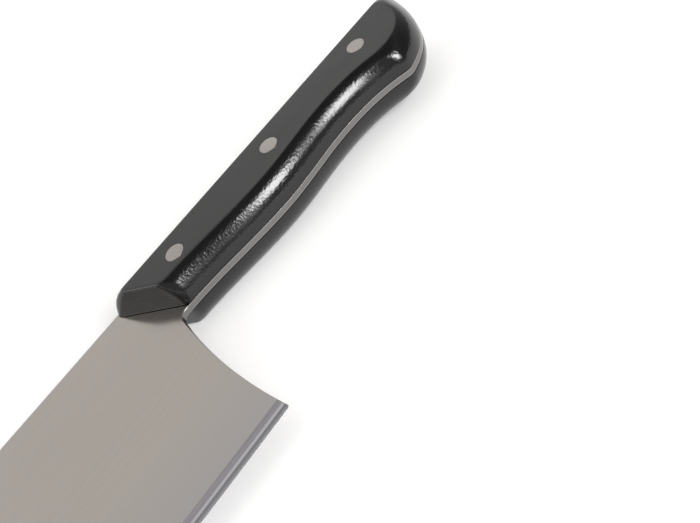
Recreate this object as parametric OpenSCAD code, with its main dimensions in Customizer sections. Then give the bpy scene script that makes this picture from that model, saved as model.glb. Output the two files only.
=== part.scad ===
// Slicing cleaver: one steel blade with a full tang, two crowned scales and three two-part rivets.
// The handle points to +X, the cutting edge to -Y and the broad faces to +Z and -Z.
// The origin is the centre of the whole knife, on the middle plane of the steel.

/* [Blade] */
// Length of the blade, from the heel corner to the front end
blade_len = 190; // [150:1:230]
// Greatest height of the blade, from the spine to the cutting edge
blade_h = 75; // [66:1:100]
// Thickness of the tang and the upper blade
steel_t = 2; // [1.6:0.1:3]
// How far the cutting edge bows out over its length
edge_bow = 1.8; // [1:0.1:3]
// Height of the long taper above the cutting edge
grind_h = 34; // [20:1:38]
// Thickness where the long taper meets the sharpened bevel
shoulder_t = 0.9; // [0.5:0.05:1.2]
// Height of the sharpened bevel
bevel_h = 4; // [2.4:0.1:6]
// Height of the honed strip at the foot of the bevel
hone_h = 1.4; // [0.6:0.1:2]
// Thickness left at the cutting edge
edge_t = 0.12; // [0.08:0.01:0.2]
// How far the front end bows out
front_bow = 2.4; // [1:0.1:5]
// Size of the rounded front corner at the spine
spine_corner = 16; // [6:1:24]
// Size of the rounded front corner at the cutting edge
edge_corner = 6; // [2:1:12]
// Depth of the hollow curve of the heel
heel_hollow = 1.9; // [0.5:0.1:4]
// How far the heel corner stands forward of the throat
heel_lean = 1.9; // [0:0.1:4]
// Size of the eased heel corner
heel_corner = 0.8; // [0.4:0.1:2]
// Radius of the throat between grip and heel
throat_r = 3; // [2:0.1:5]
// Bare length of the grip between the scales and the throat
neck_gap = 1.4; // [0.2:0.1:4]
// Width of the broken corners along the spine
spine_break = 0.3; // [0.1:0.05:0.5]

/* [Handle] */
// Thickness of each scale
scale_t = 8.5; // [6.5:0.1:11]
// Distance from the row of rivets up to the spine
spine_rise = 13.2; // [12:0.1:15]
// Depth of the grip below the rivets at its front
front_drop = 9; // [8:0.1:11]
// Depth of the grip below the rivets at the palm swell
swell_drop = 12.4; // [11:0.1:15]
// Depth of the grip below the rivets at the waist
waist_drop = 10.6; // [9.5:0.1:13]
// Depth of the grip below the rivets at the hooked corner of the butt
beak_drop = 16; // [14:0.1:19]
// How far the hooked corner stands in from the butt end
beak_setback = 24.2; // [18:0.1:28]
// How far the butt end bows out
butt_bow = 5.7; // [4:0.1:7]
// Angle of the front bevel of the scales to the width of the grip
front_slant = 34; // [15:1:40]
// How much narrower the flat side face is than the scale, along the spine
spine_crown = 5.6; // [3:0.1:6.5]
// How much narrower the flat side face is than the scale, along the belly
belly_crown = 4.6; // [3:0.1:5.4]
// How much shorter the flat side face is than the scale, at the butt end
butt_crown = 8.6; // [5:0.1:10]
// How much shorter the flat side face is than the scale, at the front bevel
front_crown = 1.75; // [1:0.05:4]

/* [Rivets] */
// Distance between neighbouring rivets
rivet_pitch = 40; // [36:0.5:46]
// Distance from the butt end to the rear rivet
rear_setback = 26.5; // [24:0.5:30]
// Distance from the front rivet to the front bevel of the scales
front_setback = 14.5; // [12:0.5:22]
// Diameter of the rivet heads
head_d = 6; // [5:0.1:8]
// Thickness of the rivet heads
head_t = 1.6; // [1:0.1:2.5]
// Diameter of the rivet sleeves
sleeve_d = 4; // [3.5:0.1:4.5]
// Diameter of the rivet pins
pin_d = 2.4; // [1.8:0.1:2.8]
// Clearance round the rivets and inside their sleeves
fit_gap = 0.04; // [0.02:0.01:0.08]

/* [Hidden] */

// Places along and across the knife
scale_len = rear_setback + 2 * rivet_pitch + front_setback;
grip_len = scale_len - front_drop * tan(front_slant) + neck_gap + throat_r;
overall_len = blade_len + heel_lean + grip_len;
butt_x = overall_len / 2;
front_x = -overall_len / 2;
throat_x = butt_x - grip_len;
heel_x = throat_x - heel_lean;
spine_y = blade_h / 2;
edge_y = -blade_h / 2;
row_y = spine_y - spine_rise;
neck_y = row_y - front_drop;
face_z = steel_t / 2;
side_z = face_z + scale_t;
rear_rivet_x = butt_x - rear_setback;
middle_rivet_x = rear_rivet_x - rivet_pitch;
front_rivet_x = middle_rivet_x - rivet_pitch;

// The cutting edge is an arc, lowest at a share of its length in front of the heel
edge_low_share = 0.45;
edge_r = (pow(blade_len / 2, 2) + pow(edge_bow, 2)) / (2 * edge_bow);
edge_low_x = heel_x - edge_low_share * blade_len;
edge_centre = [edge_low_x, edge_y + edge_r];

// Thickness where the bevel meets the honed strip, as a share of the thickness at its shoulder
hone_share = 0.62;

// Belly of the grip, as shares of its length from the front bevel to the hooked corner
swell_share = 0.44;
waist_share = 0.72;
// Slope of the belly where it reaches the hooked corner
beak_slope = 0.52;

// Corner sizes as shares of the drops that they join
scale_nose_share = 0.28;
scale_butt_share = 0.22;
scale_beak_share = 0.07;
scale_front_share = 0.2;
flat_nose_share = 0.2;
flat_butt_share = 0.16;
flat_beak_share = 0.36;
flat_front_share = 0.22;
// Bulge of the flat face at the butt, as a share of the bulge of the scale there
flat_bow_share = 0.82;
// How much fuller the scale's butt is near the hooked corner than near the spine
low_bow_share = 0.3;
// Roundness of the flanks between tang and flat face: 0 is a straight chamfer, 1 a quarter round
crown_share = 0.84;

// Steps along the curved outlines and up the flanks
belly_steps = 36;
butt_steps = 14;
corner_steps = 6;
crown_steps = 11;
edge_steps = 24;
heel_steps = 16;
// Steps in a full turn of the rivets and of the wide arc of the taper
rivet_fn = 72;
taper_fn = 2880;

// Overrun of every cutting shape
overrun = 1;

// Clearances inside a rivet
sleeve_end_gap = 0.3;
head_break = 0.2;
sleeve_floor_share = 0.5;
pin_reach_share = 0.85;

// Colours
steel_colour = [0.66, 0.65, 0.63];
scale_colour = [0.06, 0.06, 0.065];
rivet_colour = [0.72, 0.70, 0.67];

function mix(a, b, t) = a + (b - a) * t;

// Point on a shallow arc from a to b that bows out to the left of that way by bow
function bowed(a, b, bow, t) =
    let (way = (b - a) / norm(b - a))
    mix(a, b, t) + [-way[1], way[0]] * 4 * bow * t * (1 - t);

// Points of a rounded corner from a to b with its sharp tip at v, without a and b themselves
function rounded(a, v, b) = [
    for (i = [1 : corner_steps - 1])
        let (t = i / corner_steps)
        mix(mix(a, v, t), mix(v, b, t), t)
];

// Depth of the belly below the rivets at a share of its length
function ease(t) = 3 * t * t - 2 * t * t * t;
function belly_drop(s, beak, run) =
    s < swell_share ? mix(front_drop, swell_drop, ease(s / swell_share))
    : s < waist_share ? mix(swell_drop, waist_drop, ease((s - swell_share) / (waist_share - swell_share)))
    : let (t = (s - waist_share) / (1 - waist_share))
      mix(waist_drop, beak, ease(t)) + beak_slope * run * (1 - waist_share) * (t * t * t - t * t);

// Front line of the scales at a height above the row of rivets, moved back by a crown
function front_line_x(y, crown) =
    butt_x - scale_len - (y - row_y) * tan(front_slant) + crown / cos(front_slant);

// Outline of a scale, narrowed by a crown on each side: its four sharp corners first
function nose_tip(flat) =
    let (y = spine_y - flat * spine_crown) [front_line_x(y, flat * front_crown), y];
function butt_tip(flat) = [butt_x - flat * butt_crown, spine_y - flat * spine_crown];
function beak_tip(flat) = [butt_x - beak_setback, row_y - beak_drop + flat * belly_crown];
function front_tip(flat) =
    let (y = neck_y + flat * belly_crown) [front_line_x(y, flat * front_crown), y];

// Points on the butt side and on the belly side, flat = 0 on the tang and 1 on the flat face
function butt_point(flat, t) =
    let (low_bow = mix(1 - low_bow_share, 1 + low_bow_share, t))
    bowed(butt_tip(flat), beak_tip(flat), butt_bow * mix(low_bow, flat_bow_share, flat), t);
function belly_point(flat, t) =
    let (a = beak_tip(flat), b = front_tip(flat), x = mix(a[0], b[0], t))
    [x, row_y + flat * belly_crown - belly_drop(1 - t, beak_drop, a[0] - b[0])];

// Lengths that the rounded corners take from the sides
function corner_cuts(flat) = [
    spine_rise * mix(scale_nose_share, flat_nose_share, flat),
    spine_rise * mix(scale_butt_share, flat_butt_share, flat),
    beak_drop * mix(scale_beak_share, flat_beak_share, flat),
    front_drop * mix(scale_front_share, flat_front_share, flat)
];

// Butt and belly of the grip, from the spine round the hooked corner to the front
function grip_points(flat, front_cut) =
    let (
        cuts = corner_cuts(flat),
        butt = norm(beak_tip(flat) - butt_tip(flat)),
        belly = norm(front_tip(flat) - beak_tip(flat)),
        spine_end = butt_tip(flat) - [cuts[1], 0]
    )
    concat(
        [spine_end],
        rounded(spine_end, butt_tip(flat), butt_point(flat, cuts[1] / butt)),
        [for (i = [0 : butt_steps]) butt_point(flat, mix(cuts[1] / butt, 1 - cuts[2] / butt, i / butt_steps))],
        rounded(butt_point(flat, 1 - cuts[2] / butt), beak_tip(flat), belly_point(flat, cuts[2] / belly)),
        [for (i = [0 : belly_steps]) belly_point(flat, mix(cuts[2] / belly, 1 - front_cut / belly, i / belly_steps))]
    );

// The whole outline of a scale
function scale_outline(flat) =
    let (
        cuts = corner_cuts(flat),
        belly = norm(front_tip(flat) - beak_tip(flat)),
        along = (nose_tip(flat) - front_tip(flat)) / norm(nose_tip(flat) - front_tip(flat)),
        front_start = front_tip(flat) + along * cuts[3],
        front_end = nose_tip(flat) - along * cuts[0],
        spine_start = nose_tip(flat) + [cuts[0], 0]
    )
    concat(
        grip_points(flat, cuts[3]),
        rounded(belly_point(flat, 1 - cuts[3] / belly), front_tip(flat), front_start),
        [front_start, front_end],
        rounded(front_end, nose_tip(flat), spine_start),
        [spine_start]
    );

// How straight the flank is at each point of the outline: 0 is crowned and 1 is the flat front bevel
function flank_straight() = concat(
    [for (i = [0 : 2 * corner_steps + butt_steps + belly_steps]) 0],
    [for (i = [1 : corner_steps - 1]) i / corner_steps],
    [1, 1],
    [for (i = [1 : corner_steps - 1]) 1 - i / corner_steps],
    [0]
);

// A scale's body: its outline on the tang drawn in to the flat side face along a crowned flank
module crowned_body() {
    low = scale_outline(0);
    high = scale_outline(1);
    straight = flank_straight();
    count = len(low);
    full = asin(crown_share);
    rings = [
        for (j = [0 : crown_steps])
            let (
                a = full * j / crown_steps,
                up = sin(a) / crown_share,
                in = (1 - cos(a)) / (1 - cos(full))
            )
            [
                for (i = [0 : count - 1])
                    let (p = mix(low[i], high[i], mix(in, up, straight[i])))
                    [p[0], p[1], face_z + up * scale_t]
            ]
    ];
    points = [for (ring = rings) each ring];
    walls = [
        for (j = [0 : crown_steps - 1], i = [0 : count - 1])
            let (
                a = j * count + i,
                b = j * count + (i + 1) % count
            )
            each [[a, b, b + count], [a, b + count, a + count]]
    ];
    floor_face = [for (i = [count - 1 : -1 : 0]) i];
    top_face = [for (i = [0 : count - 1]) crown_steps * count + i];
    polyhedron(points = points, faces = concat(walls, [floor_face], [top_face]));
}

// Points on the cutting edge, and on the front end between its sharp corners
function edge_height(x) = edge_centre[1] - sqrt(pow(edge_r, 2) - pow(x - edge_low_x, 2));
function edge_point(x) = [x, edge_height(x)];
front_low = edge_point(front_x + front_bow);
front_high = [front_x + front_bow, spine_y];
front_run = norm(front_high - front_low);
function front_point(t) = bowed(front_low, front_high, front_bow, t);

// Points on the hollow heel, between the throat and the sharp heel corner
heel_top = [throat_x, neck_y - throat_r];
heel_tip = edge_point(heel_x);
heel_run = norm(heel_tip - heel_top);
function heel_point(t) = bowed(heel_top, heel_tip, -heel_hollow, t);

// Outline of the blade and its tang, from the spine at the butt round to the front end
module blade_outline() {
    heel_end = 1 - heel_corner / heel_run;
    edge_start = heel_x - heel_corner;
    edge_end = front_low[0] + edge_corner;
    front_start = edge_corner / front_run;
    front_end = 1 - spine_corner / front_run;
    spine_start = [front_high[0] + spine_corner, spine_y];
    polygon(concat(
        grip_points(0, 0),
        [for (i = [0 : corner_steps])
            let (a = 90 * i / corner_steps)
            heel_top + throat_r * [1 - sin(a), cos(a)]],
        [for (i = [1 : heel_steps]) heel_point(heel_end * i / heel_steps)],
        rounded(heel_point(heel_end), heel_tip, edge_point(edge_start)),
        [for (i = [0 : edge_steps]) edge_point(mix(edge_start, edge_end, i / edge_steps))],
        rounded(edge_point(edge_end), front_low, front_point(front_start)),
        [for (i = [0 : heel_steps]) front_point(mix(front_start, front_end, i / heel_steps))],
        rounded(front_point(front_end), front_high, spine_start),
        [spine_start]
    ));
}

// Everything outside one side of the long taper, the sharpened bevel and the honed strip
module taper_cutter() {
    start = -90 + asin((front_x - overrun - edge_low_x) / edge_r);
    end = -90 + asin((throat_x + overrun - edge_low_x) / edge_r);
    translate([edge_centre[0], edge_centre[1], 0])
        rotate([0, 0, start])
            rotate_extrude(angle = end - start, $fn = taper_fn)
                polygon([
                    [edge_r - grind_h, face_z],
                    [edge_r - bevel_h, shoulder_t / 2],
                    [edge_r - hone_h, hone_share * shoulder_t / 2],
                    [edge_r, edge_t / 2],
                    [edge_r + overrun, edge_t / 2],
                    [edge_r + overrun, face_z + overrun],
                    [edge_r - grind_h, face_z + overrun]
                ]);
}

// Everything outside one broken corner of the bare spine
module spine_cutter() {
    start = front_high[0] + spine_corner;
    end = nose_tip(0)[0] - neck_gap;
    translate([start, 0, 0])
        rotate([90, 0, 90])
            linear_extrude(end - start)
                polygon([
                    [spine_y - spine_break - overrun, face_z + overrun],
                    [spine_y + overrun, face_z - spine_break - overrun],
                    [spine_y + overrun, face_z + overrun]
                ]);
}

// Places children at each rivet
module at_rivets() {
    for (x = [front_rivet_x, middle_rivet_x, rear_rivet_x])
        translate([x, row_y, 0])
            children();
}

// Hole for a rivet sleeve, right through the handle
module sleeve_hole() {
    cylinder(h = 2 * (side_z + overrun), d = sleeve_d + 2 * fit_gap, center = true, $fn = rivet_fn);
}

// Seat for a rivet head, sunk into the flat side face
module head_seat() {
    translate([0, 0, side_z - head_t])
        cylinder(h = head_t + overrun, d = head_d + 2 * fit_gap, $fn = rivet_fn);
}

module blade() {
    color(steel_colour)
        difference() {
            linear_extrude(steel_t, center = true)
                blade_outline();
            at_rivets()
                sleeve_hole();
            for (side = [0, 1])
                mirror([0, 0, side]) {
                    taper_cutter();
                    spine_cutter();
                }
        }
}

// Scale on the +Z side
module scale_half() {
    color(scale_colour)
        difference() {
            crowned_body();
            at_rivets() {
                sleeve_hole();
                head_seat();
            }
        }
}

module scale_right() {
    scale_half();
}

module scale_left() {
    mirror([0, 0, 1])
        scale_half();
}

// Upper half of a rivet: a head on a hollow sleeve that the pin is driven into
under_head = side_z - head_t;
bore_top = under_head - sleeve_floor_share * head_t;
module rivet_sleeve(x) {
    sleeve_end = -under_head + sleeve_end_gap;
    color(rivet_colour)
        translate([x, row_y, 0])
            rotate_extrude($fn = rivet_fn)
                polygon([
                    [0, side_z],
                    [head_d / 2 - head_break, side_z],
                    [head_d / 2, side_z - head_break],
                    [head_d / 2, under_head],
                    [sleeve_d / 2, under_head],
                    [sleeve_d / 2, sleeve_end],
                    [pin_d / 2 + fit_gap, sleeve_end],
                    [pin_d / 2 + fit_gap, bore_top],
                    [0, bore_top]
                ]);
}

// Lower half of a rivet: a head on a solid pin
module rivet_pin(x) {
    pin_top = mix(-under_head, bore_top, pin_reach_share);
    color(rivet_colour)
        translate([x, row_y, 0])
            rotate_extrude($fn = rivet_fn)
                polygon([
                    [0, -side_z],
                    [head_d / 2 - head_break, -side_z],
                    [head_d / 2, -side_z + head_break],
                    [head_d / 2, -under_head],
                    [pin_d / 2, -under_head],
                    [pin_d / 2, pin_top],
                    [0, pin_top]
                ]);
}

blade();
scale_right();
scale_left();
rivet_sleeve(front_rivet_x);  // front_rivet_sleeve
rivet_pin(front_rivet_x);  // front_rivet_pin
rivet_sleeve(middle_rivet_x);  // middle_rivet_sleeve
rivet_pin(middle_rivet_x);  // middle_rivet_pin
rivet_sleeve(rear_rivet_x);  // rear_rivet_sleeve
rivet_pin(rear_rivet_x);  // rear_rivet_pin
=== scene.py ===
import math

import bmesh
import bpy
from mathutils import Matrix, Vector


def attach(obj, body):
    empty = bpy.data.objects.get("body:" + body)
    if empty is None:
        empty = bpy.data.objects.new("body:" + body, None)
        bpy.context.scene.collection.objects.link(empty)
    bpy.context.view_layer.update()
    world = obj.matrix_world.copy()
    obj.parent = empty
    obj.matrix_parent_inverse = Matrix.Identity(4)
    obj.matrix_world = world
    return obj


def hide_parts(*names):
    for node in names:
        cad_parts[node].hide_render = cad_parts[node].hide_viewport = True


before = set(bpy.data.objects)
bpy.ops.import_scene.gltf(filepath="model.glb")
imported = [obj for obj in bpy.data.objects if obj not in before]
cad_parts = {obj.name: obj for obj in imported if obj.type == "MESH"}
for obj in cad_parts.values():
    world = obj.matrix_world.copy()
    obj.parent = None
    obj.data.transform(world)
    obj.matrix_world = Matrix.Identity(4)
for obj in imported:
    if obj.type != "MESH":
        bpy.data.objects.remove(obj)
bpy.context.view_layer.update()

# Blade and tang
# One sheet of stainless steel runs from the front end to the butt of the grip. It is cut out,
# ground to a long taper on both faces, satin finished and eased along its bare edges, then
# sharpened with a bevel and a narrow honed strip; the tang is left flush with the scales.

MM = 0.001
face_z = 1.0
butt_x = 155.615
spine_y = 37.5
spine_rise = 13.2
row_y = spine_y - spine_rise
front_drop = 9.0
neck_y = row_y - front_drop
corner_steps = 8


def mix(a, b, t):
    return a + (b - a) * t


def between(a, b, t):
    return (mix(a[0], b[0], t), mix(a[1], b[1], t))


def distance(a, b):
    return math.hypot(b[0] - a[0], b[1] - a[1])


def bowed(a, b, bow, t):
    """A point on a shallow arc from a to b, bowed to the left of the way."""
    swell = 4 * bow * t * (1 - t) / distance(a, b)
    x, y = between(a, b, t)
    return (x - (b[1] - a[1]) * swell, y + (b[0] - a[0]) * swell)


def rounded(a, tip, b, steps=corner_steps):
    """The inner points of a rounded corner from a to b."""
    return [
        between(between(a, tip, t), between(tip, b, t), t)
        for t in (i / steps for i in range(1, steps))
    ]


def ease(t):
    return 3 * t * t - 2 * t**3


scale_length = 121.0
front_slant = math.radians(34)
swell_drop = 12.4
swell_share = 0.44
waist_drop = 10.6
waist_share = 0.72
beak_drop = 16.0
beak_slope = 0.52
beak_setback = 24.2
butt_bow = 5.7
tang_bow_ends = (0.7, 1.3)
flat_bow_share = 0.82
crowns = {"spine": 5.6, "belly": 4.6, "butt": 8.6, "front": 1.75}
corner_drops = {"nose": spine_rise, "butt": spine_rise, "beak": beak_drop, "front": front_drop}
corner_shares = {"nose": (0.28, 0.20), "butt": (0.22, 0.16), "beak": (0.07, 0.36), "front": (0.20, 0.22)}
butt_steps = 36
belly_steps = 120


def belly_drop(s, run):
    """Depth of the belly below the rivets at a share of the grip's length."""
    if s < swell_share:
        return mix(front_drop, swell_drop, ease(s / swell_share))
    if s < waist_share:
        return mix(swell_drop, waist_drop, ease((s - swell_share) / (waist_share - swell_share)))
    rear_share = 1 - waist_share
    t = (s - waist_share) / rear_share
    return mix(waist_drop, beak_drop, ease(t)) + beak_slope * run * rear_share * (t**3 - t**2)


def front_line_x(y, crown):
    """Where the slanting front of the scales crosses a height, moved back by its crown."""
    return butt_x - scale_length - (y - row_y) * math.tan(front_slant) + crown / math.cos(front_slant)


def corner_tips(flat):
    """The grip's four sharp corners, on the tang (flat 0) or round the side face (flat 1)."""
    top = spine_y - flat * crowns["spine"]
    low = neck_y + flat * crowns["belly"]
    return {
        "nose": (front_line_x(top, flat * crowns["front"]), top),
        "butt": (butt_x - flat * crowns["butt"], top),
        "beak": (butt_x - beak_setback, row_y - beak_drop + flat * crowns["belly"]),
        "front": (front_line_x(low, flat * crowns["front"]), low),
    }


def corner_cut(corner, flat):
    """How far from its sharp tip a corner of the grip starts to round."""
    return corner_drops[corner] * mix(*corner_shares[corner], flat)


def grip_outline(flat, front_cut):
    """The grip's outline from the spine at the butt, round the hooked corner and along the belly."""
    tips = corner_tips(flat)
    butt, beak, front = tips["butt"], tips["beak"], tips["front"]
    butt_cut, beak_cut = corner_cut("butt", flat), corner_cut("beak", flat)
    butt_run, belly_run = distance(butt, beak), distance(beak, front)

    def butt_point(t):
        return bowed(butt, beak, butt_bow * mix(mix(*tang_bow_ends, t), flat_bow_share, flat), t)

    def belly_point(t):
        x = mix(beak[0], front[0], t)
        return (x, row_y + flat * crowns["belly"] - belly_drop(1 - t, beak[0] - front[0]))

    spine_end = (butt[0] - butt_cut, butt[1])
    butt_ends = (butt_cut / butt_run, 1 - beak_cut / butt_run)
    belly_ends = (beak_cut / belly_run, 1 - front_cut / belly_run)
    points = [spine_end]
    points += rounded(spine_end, butt, butt_point(butt_ends[0]))
    points += [butt_point(mix(*butt_ends, i / butt_steps)) for i in range(butt_steps + 1)]
    points += rounded(butt_point(butt_ends[1]), beak, belly_point(belly_ends[0]))
    points += [belly_point(mix(*belly_ends, i / belly_steps)) for i in range(belly_steps + 1)]
    return points


blade_length = 190
grip_length = 119.33
throat_x = butt_x - grip_length
throat_radius = 3.0
heel_lean = 1.9
heel_hollow = 1.9
heel_corner = 0.8
heel_x = throat_x - heel_lean
front_bow = 2.4
edge_corner = 6.0
spine_corner = 16.0
edge_bow = 1.8
edge_low_share = 0.45
edge_radius = ((blade_length / 2) ** 2 + edge_bow**2) / (2 * edge_bow)
edge_centre = (heel_x - edge_low_share * blade_length, edge_radius - spine_y)
hone_height = 1.4
bevel_height = 4.0
taper_height = 34.0
ground_heights = (0.0, hone_height, bevel_height, taper_height)
ground_halves = (0.06, 0.279, 0.45, face_z)


def height_above_edge(point):
    return edge_radius - distance(point, edge_centre)


def arc_point(x, height):
    """A point at a height above the curved cutting edge."""
    reach = edge_radius - height
    return (x, edge_centre[1] - math.sqrt(reach**2 - (x - edge_centre[0]) ** 2))


def half_thickness(point):
    """Half the steel's thickness: the full sheet, the long taper, the bevel or the honed strip."""
    height = max(0.0, height_above_edge(point))
    for k in range(len(ground_heights) - 1):
        if height < ground_heights[k + 1]:
            share = (height - ground_heights[k]) / (ground_heights[k + 1] - ground_heights[k])
            return mix(ground_halves[k], ground_halves[k + 1], share)
    return face_z


def at_height(path, height):
    """The point of a path up from the cutting edge that lies at a height above it."""
    for a, b in zip(path, path[1:]):
        low, high = height_above_edge(a), height_above_edge(b)
        if height <= high:
            return between(a, b, max(0.0, (height - low) / (high - low)))
    return path[-1]


row_heights = (
    0, 0.3, 0.65, 1.0, hone_height, 2.0, 2.8, bevel_height,
    6.0, 8.5, 12.0, 16.0, 20.5, 25.0, 29.5, taper_height,
)
blade_columns = 64
edge_corner_steps = 24
heel_corner_steps = 16
side_steps = 60
front_reach = 0.6
heel_reach = 0.2
upper_steps = 12
throat_steps = 6


def blade_rows():
    """Rows of points from the cutting edge up to the spine, each from the front end to the heel."""
    chord_x = front_bow - butt_x
    front_low = arc_point(chord_x, 0)
    front_high = (chord_x, spine_y)
    front_run = distance(front_low, front_high)
    heel_top = (throat_x, neck_y - throat_radius)
    heel_tip = arc_point(heel_x, 0)
    heel_end = 1 - heel_corner / distance(heel_top, heel_tip)

    def front_point(t):
        return bowed(front_low, front_high, front_bow, t)

    def heel_point(t):
        return bowed(heel_top, heel_tip, -heel_hollow, t)

    edge_front = arc_point(front_low[0] + edge_corner, 0)
    edge_heel = arc_point(heel_x - heel_corner, 0)
    front_start, front_end = edge_corner / front_run, 1 - spine_corner / front_run
    front_side = [edge_front] + rounded(edge_front, front_low, front_point(front_start), edge_corner_steps)
    heel_side = [edge_heel] + rounded(edge_heel, heel_tip, heel_point(heel_end), heel_corner_steps)
    for i in range(side_steps + 1):
        front_side.append(front_point(mix(front_start, front_reach, i / side_steps)))
        heel_side.append(heel_point(mix(heel_end, heel_reach, i / side_steps)))

    rows = []
    for height in row_heights:
        a, b = at_height(front_side, height), at_height(heel_side, height)
        shares = [i / blade_columns for i in range(blade_columns + 1)]
        rows.append([arc_point(mix(a[0], b[0], share), height) for share in shares])
        rows[-1][0], rows[-1][-1] = a, b

    last = rows[-1]
    front_share = (last[0][1] - front_low[1]) / front_run
    heel_share = (heel_top[1] - last[-1][1]) / (heel_top[1] - heel_tip[1])
    corner_start, corner_finish = front_point(front_end), (front_high[0] + spine_corner, spine_y)
    left = [front_point(mix(front_share, front_end, (i + 1) / upper_steps)) for i in range(upper_steps)]
    left += rounded(corner_start, front_high, corner_finish, upper_steps) + [corner_finish]
    right = [heel_point(heel_share * (1 - (i + 1) / throat_steps)) for i in range(throat_steps)]
    for i in range(throat_steps):
        a = math.radians(90 * (i + 1) / throat_steps)
        right.append((
            throat_x + throat_radius * (1 - math.cos(a)),
            heel_top[1] + throat_radius * math.sin(a),
        ))
    seam = (throat_x + throat_radius, neck_y)
    right += [between(seam, (seam[0], spine_y), (i + 1) / upper_steps) for i in range(upper_steps)]
    for j, (a, b) in enumerate(zip(left, right)):
        fade = 1 - (j + 1) / len(left)
        row = []
        for i in range(blade_columns + 1):
            x, y = between(a, b, i / blade_columns)
            sag = last[i][1] - mix(last[0][1], last[-1][1], i / blade_columns)
            row.append((x, y + fade * sag))
        rows.append(row)
    return rows, len(rows) - 1 - upper_steps


round_steps = 64


def ring_of(bm, points):
    return [bm.verts.new(p) for p in points]


def skin(bm, lower, upper):
    """Quads between two loops; the outside is on the right of the lower loop's way."""
    for i in range(len(lower)):
        k = (i + 1) % len(lower)
        bm.faces.new((lower[i], upper[i], upper[k], lower[k]))


def loop_edges(bm, loop):
    pairs = [(loop[i], loop[(i + 1) % len(loop)]) for i in range(len(loop))]
    return [bm.edges.get(pair) or bm.edges.new(pair) for pair in pairs]


def circle(radius, centre, z):
    return [
        (centre[0] + radius * math.cos(a), centre[1] + radius * math.sin(a), z)
        for a in (math.tau * i / round_steps for i in range(round_steps))
    ]


def make_piece(name, bm, sharp):
    """A finished piece from a bmesh in millimetres, smooth but for the sharp edges."""
    for v in bm.verts:
        v.co *= MM
    bm.normal_update()
    bmesh.ops.recalc_face_normals(bm, faces=bm.faces)
    for face in bm.faces:
        face.smooth = True
    for edge in sharp:
        edge.smooth = False
    mesh = bpy.data.meshes.new(name)
    bm.to_mesh(mesh)
    bm.free()
    piece = bpy.data.objects.new(name, mesh)
    bpy.context.scene.collection.objects.link(piece)
    return piece


rivet_pitch = 40.0
rear_setback = 26.5
rear_rivet_x = butt_x - rear_setback
rivet_row = [rear_rivet_x - 2 * rivet_pitch, rear_rivet_x - rivet_pitch, rear_rivet_x]
shank_hole = 2.04
bare_rim = 0.24
covered_rim = 0.012
rim_share = 0.7
rim_steps = 4
rim_end = 0.6
rim_fade = 1.6


def rim_insets(way):
    """The radius of the eased rim and the way inwards at each point of the steel's outline."""
    nose_x = corner_tips(0)["nose"][0] + corner_cut("nose", 0)
    front_x = corner_tips(0)["front"][0]
    insets = []
    for k, point in enumerate(way):
        before, after = way[k - 1], way[(k + 1) % len(way)]
        run = distance(before, after)
        on_spine = point[1] > spine_y - 0.01
        covered_from = nose_x if on_spine else front_x
        bare = min(1.0, max(0.0, (covered_from + rim_end - point[0]) / rim_fade))
        radius = mix(covered_rim, min(bare_rim, rim_share * half_thickness(point)), bare)
        insets.append((radius, (-(after[1] - before[1]) / run, (after[0] - before[0]) / run)))
    return insets


def make_blade():
    """The whole steel sheet: two ground faces, an eased rim all round and the rivet holes."""
    rows, seam_row = blade_rows()
    tang = grip_outline(0, 0)
    outline = [(0, i) for i in range(blade_columns, -1, -1)]
    outline += [(j, 0) for j in range(1, len(rows))]
    outline += [(len(rows) - 1, i) for i in range(1, blade_columns + 1)]
    heel_way = [(j, blade_columns) for j in range(seam_row, 0, -1)]
    way = [rows[j][i] for j, i in outline] + tang + [rows[j][i] for j, i in heel_way]
    insets = rim_insets(way)

    bm = bmesh.new()
    sharp, rims, holes = [], [], []
    for side in (1, -1):
        moved = {}
        for k, point in enumerate(way):
            radius, (nx, ny) = insets[k]
            inner = (point[0] - nx * radius, point[1] - ny * radius)
            moved[k] = (*inner, side * half_thickness(inner))
        place = {key: k for k, key in enumerate(outline)}
        place.update({key: len(outline) + len(tang) + k for k, key in enumerate(heel_way)})
        grid = [
            [
                bm.verts.new(moved[place[j, i]] if (j, i) in place else (*p, side * half_thickness(p)))
                for i, p in enumerate(row)
            ]
            for j, row in enumerate(rows)
        ]
        for low, high in zip(grid, grid[1:]):
            for i in range(blade_columns):
                bm.faces.new((low[i], low[i + 1], high[i + 1], high[i]))
        for height in (hone_height, bevel_height):
            shoulder = grid[row_heights.index(height)]
            sharp += [bm.edges.get(pair) for pair in zip(shoulder, shoulder[1:])]
        tang_verts = [bm.verts.new(moved[len(outline) + k]) for k in range(len(tang))]
        seam = [row[blade_columns] for row in grid[seam_row:]]
        bounds = loop_edges(bm, tang_verts + seam)
        for x in rivet_row:
            holes.append(ring_of(bm, circle(shank_hole, (x, row_y), side * face_z)))
            bounds += loop_edges(bm, holes[-1])
        bmesh.ops.triangle_fill(bm, use_beauty=True, edges=bounds, normal=(0, 0, side))
        face_loop = [grid[j][i] for j, i in outline] + tang_verts + [grid[j][i] for j, i in heel_way]
        sharp += loop_edges(bm, face_loop)
        lower = face_loop
        for step in range(1, rim_steps + 1):
            angle = math.radians(90 * step / rim_steps)
            upper = []
            for k, point in enumerate(way):
                radius, (nx, ny) = insets[k]
                back = radius * (1 - math.sin(angle))
                height = moved[k][2] - side * radius * (1 - math.cos(angle))
                upper.append((point[0] - nx * back, point[1] - ny * back, height))
            upper = ring_of(bm, upper)
            skin(bm, lower, upper)
            lower = upper
        rims.append(lower)
    skin(bm, rims[0], rims[1])
    for upper, lower in zip(holes[:len(rivet_row)], holes[len(rivet_row):]):
        skin(bm, upper, lower)
        sharp += loop_edges(bm, upper) + loop_edges(bm, lower)
    return make_piece("ground_blade", bm, sharp)


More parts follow.
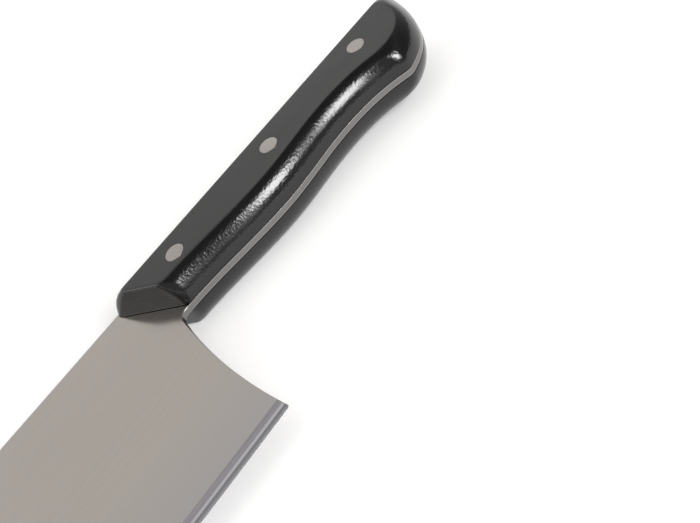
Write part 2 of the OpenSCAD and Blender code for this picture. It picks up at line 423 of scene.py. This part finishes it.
def node_material(name, roughness, metallic):
    """A new material with its node tree and its Principled shader."""
    material = bpy.data.materials.new(name)
    material.use_nodes = True
    tree = material.node_tree
    shader = tree.nodes["Principled BSDF"]
    shader.inputs["Metallic"].default_value = metallic
    shader.inputs["Roughness"].default_value = roughness
    return material, tree, shader


def noise(tree, place, stretch, scale, detail):
    """Noise on coordinates that are stretched along each axis."""
    mapping = tree.nodes.new("ShaderNodeMapping")
    mapping.inputs["Scale"].default_value = stretch
    node = tree.nodes.new("ShaderNodeTexNoise")
    node.inputs["Scale"].default_value = scale
    node.inputs["Detail"].default_value = detail
    tree.links.new(place, mapping.inputs["Vector"])
    tree.links.new(mapping.outputs["Vector"], node.inputs["Vector"])
    return node.outputs["Fac"]


def spread(tree, value, low, high, to_low=0, to_high=1):
    """A value's range low..high laid over to_low..to_high."""
    node = tree.nodes.new("ShaderNodeMapRange")
    node.inputs["From Min"].default_value = low
    node.inputs["From Max"].default_value = high
    node.inputs["To Min"].default_value = to_low
    node.inputs["To Max"].default_value = to_high
    tree.links.new(value, node.inputs["Value"])
    return node.outputs["Result"]


def two_colours(tree, factor, first, second):
    """A blend of two colours, either of which may be a socket."""
    node = tree.nodes.new("ShaderNodeMix")
    node.data_type = "RGBA"
    tree.links.new(factor, node.inputs[0])
    for socket, colour in ((node.inputs[6], first), (node.inputs[7], second)):
        if isinstance(colour, tuple):
            socket.default_value = (*colour, 1)
        else:
            tree.links.new(colour, socket)
    return node.outputs[2]


def bump(tree, height, distance, under=None):
    """A bump of a real depth, on top of another bump if one is given."""
    node = tree.nodes.new("ShaderNodeBump")
    node.inputs["Distance"].default_value = distance
    tree.links.new(height, node.inputs["Height"])
    if under is not None:
        tree.links.new(under, node.inputs["Normal"])
    return node.outputs["Normal"]


def arithmetic(tree, operation, first, second):
    """One Math node on sockets or numbers."""
    node = tree.nodes.new("ShaderNodeMath")
    node.operation = operation
    for socket, value in zip(node.inputs, (first, second)):
        if isinstance(value, (int, float)):
            socket.default_value = value
        else:
            tree.links.new(value, socket)
    return node.outputs[0]


def size_of_z(tree, vector):
    """How far up or down a vector reaches."""
    parts = tree.nodes.new("ShaderNodeSeparateXYZ")
    tree.links.new(vector, parts.inputs[0])
    return arithmetic(tree, "ABSOLUTE", parts.outputs["Z"], 0)


def height_over_edge(tree, place):
    """The height above the curved cutting edge, from the distance to the curve's centre."""
    flat_place = tree.nodes.new("ShaderNodeVectorMath")
    flat_place.operation = "MULTIPLY"
    flat_place.inputs[1].default_value = (1, 1, 0)
    from_centre = tree.nodes.new("ShaderNodeVectorMath")
    from_centre.operation = "SUBTRACT"
    from_centre.inputs[1].default_value = (edge_centre[0] * MM, edge_centre[1] * MM, 0)
    reach = tree.nodes.new("ShaderNodeVectorMath")
    reach.operation = "LENGTH"
    tree.links.new(place, flat_place.inputs[0])
    tree.links.new(flat_place.outputs[0], from_centre.inputs[0])
    tree.links.new(from_centre.outputs[0], reach.inputs[0])
    return arithmetic(tree, "SUBTRACT", edge_radius * MM, reach.outputs["Value"])


def make_blade_steel():
    """Satin steel, brushed along the blade, with a coarser bevel; painted reflections and highlights give
    a cooler tint towards the edge, a darker, bluer bevel with a light lower band, a dark-to-light hone and
    a rim lighter towards both faces.
    """
    body_colours = (0.375, 0.352, 0.325), (0.391, 0.367, 0.340)
    # The cooler, darker grey towards the cutting edge is painted reflection.
    edge_reflection_colour = (0.353, 0.339, 0.335)
    brush_colour = (0.358, 0.336, 0.313)
    # The bevel's darker, bluer colours are painted reflection; the streaks between them follow the grind.
    bevel_reflection_colours = (0.226, 0.218, 0.240), (0.275, 0.266, 0.290)
    # The light band on the bevel's lower part is a painted highlight.
    bevel_highlight_colour = (0.42, 0.41, 0.43)
    # The hone's dark-to-light gradient towards the edge is painted reflection.
    hone_reflection_colours = (0.190, 0.198, 0.215), (0.285, 0.290, 0.305)
    # The rim's lighter bands towards both faces are painted highlights.
    rim_highlight_colours = (0.21, 0.206, 0.203), (0.32, 0.315, 0.31)

    material, tree, shader = node_material("satin_blade_steel", 0.16, 1.0)
    coordinates = tree.nodes.new("ShaderNodeTexCoord")
    place = coordinates.outputs["Object"]
    on_rim = spread(tree, size_of_z(tree, coordinates.outputs["Normal"]), 0.45, 0.2)
    rim_highlight_mask = spread(tree, size_of_z(tree, place), 0.65 * MM, 0.9 * MM)
    above_edge = height_over_edge(tree, place)
    on_bevel = spread(tree, above_edge, (bevel_height + 0.15) * MM, (bevel_height - 0.25) * MM)
    on_hone = spread(tree, above_edge, (hone_height + 0.05) * MM, (hone_height - 0.05) * MM)
    hone_reflection_mask = spread(tree, above_edge, 0.8 * MM, 0.3 * MM)
    bevel_highlight_mask = spread(tree, above_edge, 2.4 * MM, 2.0 * MM)
    edge_reflection_mask = spread(tree, above_edge, 26 * MM, 5 * MM)
    cloud = noise(tree, place, (1, 1, 1), 16, 3)
    streak = noise(tree, place, (9, 1500, 1500), 1, 3)
    hair = noise(tree, place, (40, 6500, 6500), 1, 2)

    body = two_colours(tree, spread(tree, cloud, 0.3, 0.7), *body_colours)
    # Painted reflection: from about 26 mm above the edge down to 5 mm the steel turns a cooler, darker
    # grey.
    with_edge_reflection = two_colours(tree, edge_reflection_mask, body, edge_reflection_colour)
    brushed = two_colours(tree, spread(tree, streak, 0.35, 0.65, 0, 0.3), with_edge_reflection, brush_colour)
    # Painted reflection: the bevel is darker and bluer than the faces, streaked along the grind.
    ground = two_colours(tree, spread(tree, streak, 0.3, 0.7), *bevel_reflection_colours)
    # Painted highlight: below about 2 mm above the edge the bevel turns light grey.
    with_bevel_highlight = two_colours(tree, bevel_highlight_mask, ground, bevel_highlight_colour)
    bevelled = two_colours(tree, on_bevel, brushed, with_bevel_highlight)
    # Painted reflection: the honed strip is dark at its top and lighter towards the very edge.
    honed = two_colours(tree, hone_reflection_mask, *hone_reflection_colours)
    faces = two_colours(tree, on_hone, bevelled, honed)
    # Painted highlight: the rim is lighter towards both faces and darker across its middle.
    rim = two_colours(tree, rim_highlight_mask, *rim_highlight_colours)
    tree.links.new(two_colours(tree, on_rim, faces, rim), shader.inputs["Base Color"])

    satin = spread(tree, streak, 0.3, 0.7, 0.17, 0.215)
    coarser = spread(tree, on_bevel, 0, 1, 0, 0.06)
    tree.links.new(arithmetic(tree, "ADD", satin, coarser), shader.inputs["Roughness"])
    fine_lines = bump(tree, streak, 0.0005 * MM)
    tree.links.new(bump(tree, hair, 0.0003 * MM, fine_lines), shader.inputs["Normal"])
    return material


def dress(piece, material):
    """Gives a piece its one material."""
    piece.data.materials.clear()
    piece.data.materials.append(material)


blade = make_blade()
dress(blade, make_blade_steel())
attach(blade, "root")
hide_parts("blade")

# Scales
# Two moulded black plastic scales are clamped to the tang. Each has a flat side face that is
# ground to a satin, crowned flanks with a fine moulded grain and a slanting bevel at the front;
# its arrises are lightly eased and counterbored holes take the rivets.

scale_thick = 8.5
side_z = face_z + scale_thick
crown_share = 0.84
flank_steps = 18
bevel_steps = 12
spine_steps = 40
joint_groove = 0.12
flank_arris = 0.42
bevel_arris = 0.75
arris_shares = (0, 0.2, 0.4, 0.6, 0.8, 1)
arris_margin = 0.25
head_thick = 1.6
head_seat = 3.03
seat_radius = 3.015
seat_lip = 0.04


def scale_outline(flat):
    """Outline on the tang (flat 0) or round the side face (flat 1), and how straight its flank is."""
    tips = corner_tips(flat)
    nose, front = tips["nose"], tips["front"]
    front_cut, nose_cut = corner_cut("front", flat), corner_cut("nose", flat)
    front_run = distance(front, nose)
    bevel_low = between(front, nose, front_cut / front_run)
    bevel_high = between(front, nose, 1 - nose_cut / front_run)
    spine_nose = (nose[0] + nose_cut, nose[1])

    points = grip_outline(flat, front_cut)
    straight = [0.0] * len(points)
    points += rounded(points[-1], front, bevel_low)
    straight += [i / corner_steps for i in range(1, corner_steps)]
    points += [between(bevel_low, bevel_high, i / bevel_steps) for i in range(bevel_steps + 1)]
    straight += [1.0] * (bevel_steps + 1)
    points += rounded(bevel_high, nose, spine_nose)
    straight += [1 - i / corner_steps for i in range(1, corner_steps)]
    points += [between(spine_nose, points[0], i / spine_steps) for i in range(spine_steps)]
    straight += [0.0] * spine_steps
    return points, straight


def inwards(ring, i):
    """The level way into a closed ring at one of its points."""
    along = Vector(ring[(i + 1) % len(ring)]) - Vector(ring[i - 1])
    return Vector((along.y, -along.x, 0)).normalized()


def scale_rings():
    """Closed loops of points from the tang up the flank, round the eased arris and onto the side face."""
    low, straight = scale_outline(0)
    high, _ = scale_outline(1)
    count = len(low)
    full = math.asin(crown_share)
    rings = []
    for j in range(flank_steps + 1):
        angle = full * j / flank_steps
        up = math.sin(angle) / crown_share
        inward = (1 - math.cos(angle)) / (1 - math.cos(full))
        z = face_z + up * scale_thick
        rings.append([(*between(low[i], high[i], mix(inward, up, straight[i])), z) for i in range(count)])
    groove = [Vector(rings[0][i]) + inwards(rings[0], i) * joint_groove for i in range(count)]
    rings[0] = [(x, y, z + joint_groove) for x, y, z in rings[0]]
    rings.insert(0, groove)
    top, below = rings.pop(), rings[-1]
    eased = []
    for i in range(count):
        tip = Vector(top[i])
        down = (Vector(below[i]) - tip).normalized()
        inward = inwards(top, i)
        radius = mix(flank_arris, bevel_arris, straight[i])
        start, end = tip + down * radius, tip + inward * radius
        arris = [start.lerp(tip, t).lerp(tip.lerp(end, t), t) for t in arris_shares]
        eased.append(arris + [tip + inward * (radius + arris_margin)])
    rings[-1:] = [list(ring) for ring in zip(*eased)]
    return rings


def make_scale(name, side):
    """One scale, on the +Z side of the tang (side 1) or the -Z side (side -1)."""
    bm = bmesh.new()
    loops = [ring_of(bm, ring) for ring in scale_rings()]
    for lower, upper in zip(loops, loops[1:]):
        skin(bm, lower, upper)
    top_edges = loop_edges(bm, loops[-1])
    floor_edges = loop_edges(bm, loops[0])
    sharp = list(floor_edges)
    seat_floor = side_z - head_thick
    bore = (
        (head_seat, side_z), (seat_radius, side_z - seat_lip), (seat_radius, seat_floor),
        (shank_hole, seat_floor), (shank_hole, face_z),
    )
    for x in rivet_row:
        circles = [ring_of(bm, circle(radius, (x, row_y), z)) for radius, z in bore]
        for lower, upper in zip(circles, circles[1:]):
            skin(bm, lower, upper)
        top_edges += loop_edges(bm, circles[0])
        floor_edges += loop_edges(bm, circles[-1])
        for ring in circles[:1] + circles[2:]:
            sharp += loop_edges(bm, ring)
    bmesh.ops.triangle_fill(bm, use_beauty=True, edges=top_edges, normal=(0, 0, 1))
    bmesh.ops.triangle_fill(bm, use_beauty=True, edges=floor_edges, normal=(0, 0, -1))
    for v in bm.verts:
        v.co.z *= side
    return make_piece(name, bm, sharp)


def make_scale_plastic():
    """Black plastic: satin on the side face, glossy and grained on the flanks, dull in the joint."""
    black_colours = (0.0045, 0.0045, 0.0052), (0.0070, 0.0070, 0.0078)

    material, tree, shader = node_material("glossy_black_plastic", 0.16, 0.0)
    shader.inputs["IOR"].default_value = 1.52
    coordinates = tree.nodes.new("ShaderNodeTexCoord")
    place = coordinates.outputs["Object"]
    on_flank = spread(tree, size_of_z(tree, coordinates.outputs["Normal"]), 0.985, 0.93)
    joint = spread(tree, size_of_z(tree, place), 1.22 * MM, 1.34 * MM, 0.02, 0.5)
    tree.links.new(joint, shader.inputs["Specular IOR Level"])
    cloud = noise(tree, place, (1, 1, 1), 45, 4)
    smear = noise(tree, place, (35, 160, 160), 1, 3)
    grain = noise(tree, place, (1, 1, 1), 1450, 4)
    colour = two_colours(tree, spread(tree, cloud, 0.3, 0.7), *black_colours)
    tree.links.new(colour, shader.inputs["Base Color"])
    satin_side = spread(tree, smear, 0.3, 0.7, 0.34, 0.40)
    gloss = spread(tree, on_flank, 0, 1, 0, 0.26)
    tree.links.new(arithmetic(tree, "SUBTRACT", satin_side, gloss), shader.inputs["Roughness"])
    ripple = bump(tree, cloud, 0.04 * MM)
    grained = arithmetic(tree, "MULTIPLY", grain, spread(tree, on_flank, 0, 1, 0.15, 1))
    tree.links.new(bump(tree, grained, 0.06 * MM, ripple), shader.inputs["Normal"])
    return material


scale_plastic = make_scale_plastic()
for name, side in (("scale_right", 1), ("scale_left", -1)):
    scale = make_scale("moulded_" + name, side)
    dress(scale, scale_plastic)
    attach(scale, "root")
    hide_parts(name)

# Rivets
# Three two-part cutlery rivets hold the scales: a head on a hollow sleeve from one side and
# a head on a pin driven into it from the other. They are turned from aluminium, and the heads
# are ground almost flush with the side faces, a little crowned and rounded at the rim.

head_radius = 3.0
face_crown = ((0, 0.10), (1.2, 0.098), (2.1, 0.088), (2.6, 0.075))
rim_radius = 0.22
rim_top = 0.06
rim_angles = (10, 28, 46, 64, 80, 90)
sleeve_radius = 2.0
sleeve_bore = 1.24
sleeve_gap = 0.3
sleeve_floor = 0.8
pin_radius = 1.2
pin_reach = 0.85


def lathe(name, profile):
    """A turned part round the Z axis from (radius, height) pairs in millimetres, ends on the axis."""
    bm = bmesh.new()
    loops = []
    for radius, z in profile:
        points = circle(radius * MM, (0, 0), z * MM)
        loops.append(ring_of(bm, points[:1] if radius == 0 else points))
    for lower, upper in zip(loops, loops[1:]):
        if len(lower) == len(upper):
            skin(bm, lower, upper)
            continue
        for i in range(round_steps):
            k = (i + 1) % round_steps
            if len(lower) == 1:
                bm.faces.new((lower[0], upper[i], upper[k]))
            else:
                bm.faces.new((lower[i], upper[0], lower[k]))
    bmesh.ops.recalc_face_normals(bm, faces=bm.faces)
    for face in bm.faces:
        face.smooth = True
    for edge in bm.edges:
        if len(edge.link_faces) == 2 and edge.calc_face_angle(0) > math.radians(40):
            edge.smooth = False
    mesh = bpy.data.meshes.new(name)
    bm.to_mesh(mesh)
    bm.free()
    piece = bpy.data.objects.new(name, mesh)
    bpy.context.scene.collection.objects.link(piece)
    return piece


def head_profile(direction):
    """A rivet head from the middle of its face out to its rim and in to its shank."""
    face = [(radius, side_z + proud) for radius, proud in face_crown]
    rim = [
        (
            head_radius - rim_radius + rim_radius * math.sin(a),
            side_z + rim_top - rim_radius * (1 - math.cos(a)),
        )
        for a in (math.radians(d) for d in rim_angles)
    ]
    under = [(head_radius, side_z - head_thick)]
    return [(radius, direction * z) for radius, z in face + rim + under]


def make_rivet_tree(material):
    """Places a turned part at every rivet of the row, each turned by a chance angle."""
    tree = bpy.data.node_groups.new("rivet_row", "GeometryNodeTree")
    face = tree.interface
    face.new_socket("Rivet", in_out="INPUT", socket_type="NodeSocketGeometry")
    count = face.new_socket("Count", in_out="INPUT", socket_type="NodeSocketInt")
    first = face.new_socket("First rivet", in_out="INPUT", socket_type="NodeSocketVector")
    pitch = face.new_socket("Pitch", in_out="INPUT", socket_type="NodeSocketFloat")
    face.new_socket("Rivets", in_out="OUTPUT", socket_type="NodeSocketGeometry")
    nodes, links = tree.nodes, tree.links
    given = nodes.new("NodeGroupInput")
    result = nodes.new("NodeGroupOutput")

    keep = nodes.new("GeometryNodeStoreNamedAttribute")
    keep.data_type = "FLOAT_VECTOR"
    keep.domain = "POINT"
    keep.inputs["Name"].default_value = "own_place"
    own = nodes.new("GeometryNodeInputPosition")
    links.new(given.outputs["Rivet"], keep.inputs["Geometry"])
    links.new(own.outputs[0], keep.inputs["Value"])

    step = nodes.new("ShaderNodeCombineXYZ")
    links.new(given.outputs["Pitch"], step.inputs["X"])
    row = nodes.new("GeometryNodeMeshLine")
    links.new(given.outputs["Count"], row.inputs["Count"])
    links.new(given.outputs["First rivet"], row.inputs["Start Location"])
    links.new(step.outputs[0], row.inputs["Offset"])

    chance = nodes.new("FunctionNodeRandomValue")
    chance.data_type = "FLOAT"
    chance.inputs[3].default_value = math.tau
    chance.inputs["Seed"].default_value = 7
    turn = nodes.new("ShaderNodeCombineXYZ")
    links.new(chance.outputs[1], turn.inputs["Z"])
    place = nodes.new("GeometryNodeInstanceOnPoints")
    links.new(row.outputs[0], place.inputs["Points"])
    links.new(keep.outputs[0], place.inputs["Instance"])
    links.new(turn.outputs[0], place.inputs["Rotation"])

    solid = nodes.new("GeometryNodeRealizeInstances")
    links.new(place.outputs[0], solid.inputs[0])
    finish = nodes.new("GeometryNodeSetMaterial")
    finish.inputs["Material"].default_value = material
    links.new(solid.outputs[0], finish.inputs["Geometry"])
    links.new(finish.outputs[0], result.inputs[0])
    return tree, (count.identifier, first.identifier, pitch.identifier)


def make_rivet_metal():
    """Ground aluminium, scratched one way across each head, on the part's own coordinates."""
    metal_colours = (0.322, 0.295, 0.281), (0.366, 0.339, 0.324)

    material, tree, shader = node_material("ground_rivet_metal", 0.30, 1.0)
    own = tree.nodes.new("ShaderNodeAttribute")
    own.attribute_name = "own_place"
    place = own.outputs["Vector"]
    scratch = noise(tree, place, (500, 7000, 500), 1, 3)
    cloud = noise(tree, place, (1, 1, 1), 420, 3)
    colour = two_colours(tree, spread(tree, scratch, 0.35, 0.65), *metal_colours)
    tree.links.new(colour, shader.inputs["Base Color"])
    tree.links.new(spread(tree, cloud, 0.3, 0.7, 0.26, 0.38), shader.inputs["Roughness"])
    tree.links.new(bump(tree, scratch, 0.003 * MM), shader.inputs["Normal"])
    return material


rivet_tree, (count_id, first_id, pitch_id) = make_rivet_tree(make_rivet_metal())


def place_rivets(name, turned):
    """Runs the tree on a turned part and keeps the result as a plain mesh."""
    modifier = turned.modifiers.new("row", "NODES")
    modifier.node_group = rivet_tree
    modifier[count_id] = len(rivet_row)
    modifier[first_id] = (rivet_row[0] * MM, row_y * MM, 0)
    modifier[pitch_id] = rivet_pitch * MM
    graph = bpy.context.evaluated_depsgraph_get()
    graph.update()
    shown = turned.evaluated_get(graph)
    mesh = bpy.data.meshes.new_from_object(shown, preserve_all_data_layers=True, depsgraph=graph)
    mesh.name = name
    bpy.data.objects.remove(turned)
    piece = bpy.data.objects.new(name, mesh)
    bpy.context.scene.collection.objects.link(piece)
    return piece


under_head = side_z - head_thick
bore_top = under_head - sleeve_floor
sleeve_low = sleeve_gap - under_head
pin_top = mix(-under_head, bore_top, pin_reach)
sleeve = head_profile(1) + [
    (sleeve_radius, under_head), (sleeve_radius, sleeve_low),
    (sleeve_bore, sleeve_low), (sleeve_bore, bore_top), (0, bore_top),
]
pin = head_profile(-1) + [(pin_radius, -under_head), (pin_radius, pin_top), (0, pin_top)]
for name, kind, profile in (("rivet_sleeves", "sleeve", sleeve), ("rivet_pins", "pin", pin)):
    rivets = place_rivets(name, lathe("turned_" + kind, profile))
    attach(rivets, "root")
    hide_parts(*(where + "_rivet_" + kind for where in ("front", "middle", "rear")))

# Floor
# The knife lies on its left side: the front edge of the left scale and the front end of the
# blade touch the plain pale floor, so the floor passes through those points.

rest_normal = Vector((0.0396790, 0.0267638, 0.9988540)).normalized()
rest_point = Vector((-0.153551, -0.0312607, -0.00045263))
floor_gap = 0.00002
floor_half = 2.0


def shown_rays(tree):
    """1 for what the camera sees directly, mirrored or through something, 0 for the light itself."""
    path = tree.nodes.new("ShaderNodeLightPath").outputs
    mirrored = arithmetic(tree, "MAXIMUM", path["Is Glossy Ray"], path["Is Transmission Ray"])
    return arithmetic(tree, "MAXIMUM", path["Is Camera Ray"], mirrored)


def make_floor():
    """A wide pale sheet, lifted to white by a glow that only shown rays see."""
    material, tree, shader = node_material("pale_floor", 0.75, 0.0)
    place = tree.nodes.new("ShaderNodeTexCoord").outputs["Object"]
    cloud = noise(tree, place, (1, 1, 1), 3, 3)
    pale = two_colours(tree, cloud, (0.80, 0.80, 0.80), (0.84, 0.84, 0.84))
    tree.links.new(pale, shader.inputs["Base Color"])
    reach = tree.nodes.new("ShaderNodeVectorMath")
    reach.operation = "LENGTH"
    tree.links.new(place, reach.inputs[0])
    further = spread(tree, reach.outputs["Value"], 0.5, 1.5, 0.26, 0.60)
    glow = tree.nodes.new("ShaderNodeEmission")
    tree.links.new(arithmetic(tree, "MULTIPLY", further, shown_rays(tree)), glow.inputs["Strength"])
    both = tree.nodes.new("ShaderNodeAddShader")
    tree.links.new(shader.outputs[0], both.inputs[0])
    tree.links.new(glow.outputs[0], both.inputs[1])
    tree.links.new(both.outputs[0], tree.nodes["Material Output"].inputs["Surface"])

    bm = bmesh.new()
    bmesh.ops.create_grid(bm, x_segments=8, y_segments=8, size=floor_half)
    turn = Vector((0, 0, 1)).rotation_difference(rest_normal).to_matrix().to_4x4()
    middle = Matrix.Translation(rest_point - rest_normal * floor_gap)
    bmesh.ops.transform(bm, matrix=middle @ turn, verts=bm.verts)
    mesh = bpy.data.meshes.new("floor")
    bm.to_mesh(mesh)
    bm.free()
    floor = bpy.data.objects.new("floor", mesh)
    bpy.context.scene.collection.objects.link(floor)
    dress(floor, material)


make_floor()

# Light
# A pale room, darker on the camera's side, with weak soft boxes behind, overhead and to the
# left, and two distant ones on the edge's side that light the knife and gloss the grip's belly.

world = bpy.data.worlds.new("pale_room")
bpy.context.scene.world = world
world.use_nodes = True
room_tree = world.node_tree
room = room_tree.nodes["Background"]
room.inputs["Color"].default_value = (1.0, 0.985, 0.965, 1)
direction = room_tree.nodes.new("ShaderNodeSeparateXYZ")
room_tree.links.new(room_tree.nodes.new("ShaderNodeTexCoord").outputs["Generated"], direction.inputs[0])
overhead = spread(room_tree, direction.outputs["Z"], 0.70, 0.82)
near_side = spread(room_tree, direction.outputs["Y"], 0.2, 0.0)
dark_top = arithmetic(room_tree, "MULTIPLY", overhead, near_side)
top_glow = spread(room_tree, dark_top, 0, 1, 1.0, 0.25)
end_glow = spread(room_tree, direction.outputs["X"], 0.3, 0.8, 1.0, 0.35)
side_glow = spread(room_tree, direction.outputs["Y"], -0.3, 0.3, 0.42, 1.0)
low_glow = arithmetic(room_tree, "MULTIPLY", side_glow, end_glow)
mirrored_room = arithmetic(room_tree, "MULTIPLY", low_glow, top_glow)
seen = room_tree.nodes.new("ShaderNodeLightPath").outputs["Is Camera Ray"]
white_room = arithmetic(room_tree, "MAXIMUM", mirrored_room, seen)
shown = shown_rays(room_tree)
shown_glow = arithmetic(room_tree, "MULTIPLY", white_room, shown)
unseen_glow = spread(room_tree, shown, 0, 1, 0.55, 0)
room_tree.links.new(arithmetic(room_tree, "ADD", shown_glow, unseen_glow), room.inputs["Strength"])


def soft_box(name, place, aim, width, height, radiance):
    """A rectangular lamp of a given radiance that faces a point."""
    lamp = bpy.data.lights.new(name, "AREA")
    lamp.shape = "RECTANGLE"
    lamp.size = width
    lamp.size_y = height
    lamp.energy = radiance * math.pi * width * height
    holder = bpy.data.objects.new(name, lamp)
    holder.location = place
    holder.rotation_euler = (Vector(aim) - Vector(place)).to_track_quat("-Z", "Y").to_euler()
    bpy.context.scene.collection.objects.link(holder)


soft_box("rear_glow", (0.66, 0.93, 0.62), (0.1, 0.0, 0.0), 0.50, 0.6, 0.32)
soft_box("top_box", (-0.06, 0.01, 1.20), (-0.06, 0.0, 0.0), 0.55, 0.45, 0.8)
soft_box("left_box", (-0.95, 0.30, 0.62), (0.0, 0.0, 0.0), 0.9, 0.5, 1.6)
soft_box("belly_strip", (0.61, -1.76, 1.19), (0.09, 0.0, 0.0), 0.76, 0.80, 20.0)
soft_box("belly_fill", (0.06, -1.83, 0.66), (0.09, 0.0, 0.0), 0.35, 0.55, 1.6)

# Camera
# The photograph's viewpoint: from the edge's side, above the throat, looking down at the
# blade with the handle running away to the right.

camera = bpy.data.cameras.new("camera")
camera.sensor_width = 36
camera.lens = 44.74
camera.clip_start = 0.01
camera_place = Vector((0.02191, -0.17302, 0.14277))
right = Vector((0.61256, -0.63907, -0.46514))
down = Vector((-0.75576, -0.30119, -0.58147))
ahead = Vector((0.23151, 0.70772, -0.66748))
camera_turn = Matrix((right, -down, -ahead)).transposed().to_4x4()
camera_holder = bpy.data.objects.new("camera", camera)
camera_holder.matrix_world = Matrix.Translation(camera_place) @ camera_turn
bpy.context.scene.collection.objects.link(camera_holder)
bpy.context.scene.camera = camera_holder
bpy.context.scene.view_settings.view_transform = "Standard"
